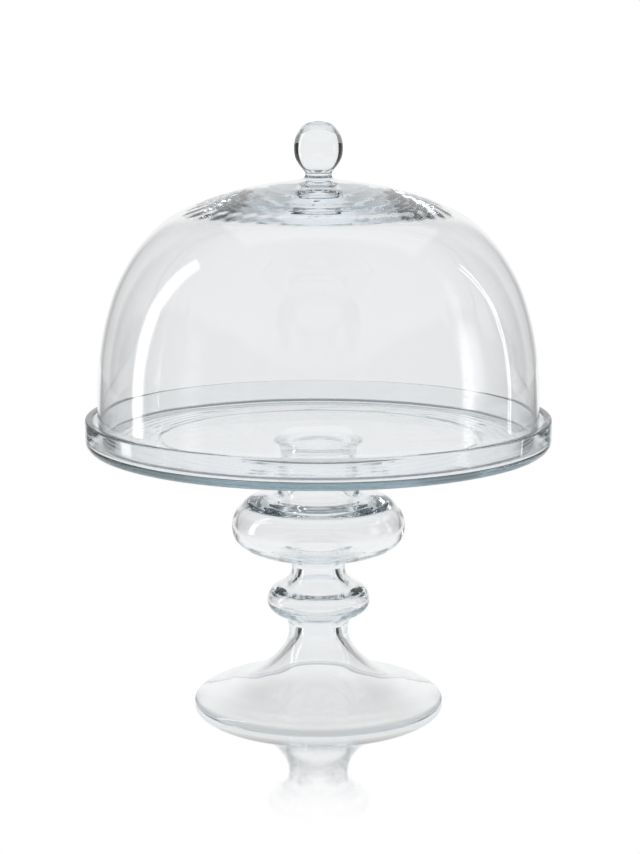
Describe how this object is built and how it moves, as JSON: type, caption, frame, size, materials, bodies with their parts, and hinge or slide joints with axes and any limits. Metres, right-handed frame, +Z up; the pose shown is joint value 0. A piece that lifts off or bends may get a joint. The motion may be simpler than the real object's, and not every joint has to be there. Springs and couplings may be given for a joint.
{
  "type": "cake stand dome",
  "caption": "Footed glass cake stand: a rimmed plate on a hollow blown pedestal with round bulbs, and a glass dome with a ball knob that lifts straight off.",
  "frame": {"origin": "centre of the foot's underside, on the surface that the stand rests on", "axes": "+Z up along the axis that every piece is turned about; +X and +Y lie in the plane of the table"},
  "size_m": [0.3, 0.3, 0.3792],
  "materials": {
    "dome_glass": "clear polished blown glass",
    "plate_glass": "clear polished pressed glass, faint cool tint in the rim",
    "pedestal_glass": "clear polished blown glass"
  },
  "bodies": {
    "stand": {"plate": "plate_glass", "stem_collar": "pedestal_glass", "upper_bulb": "pedestal_glass", "lower_bulb": "pedestal_glass", "foot": "pedestal_glass"},
    "dome": {"dome_shell": "dome_glass", "dome_knob": "dome_glass"}
  },
  "joints": [
    {"name": "dome_lift", "type": "slide", "parent": "stand", "child": "dome", "axis": [0, 0, 1], "range_m": [0, 0.25]}
  ]
}
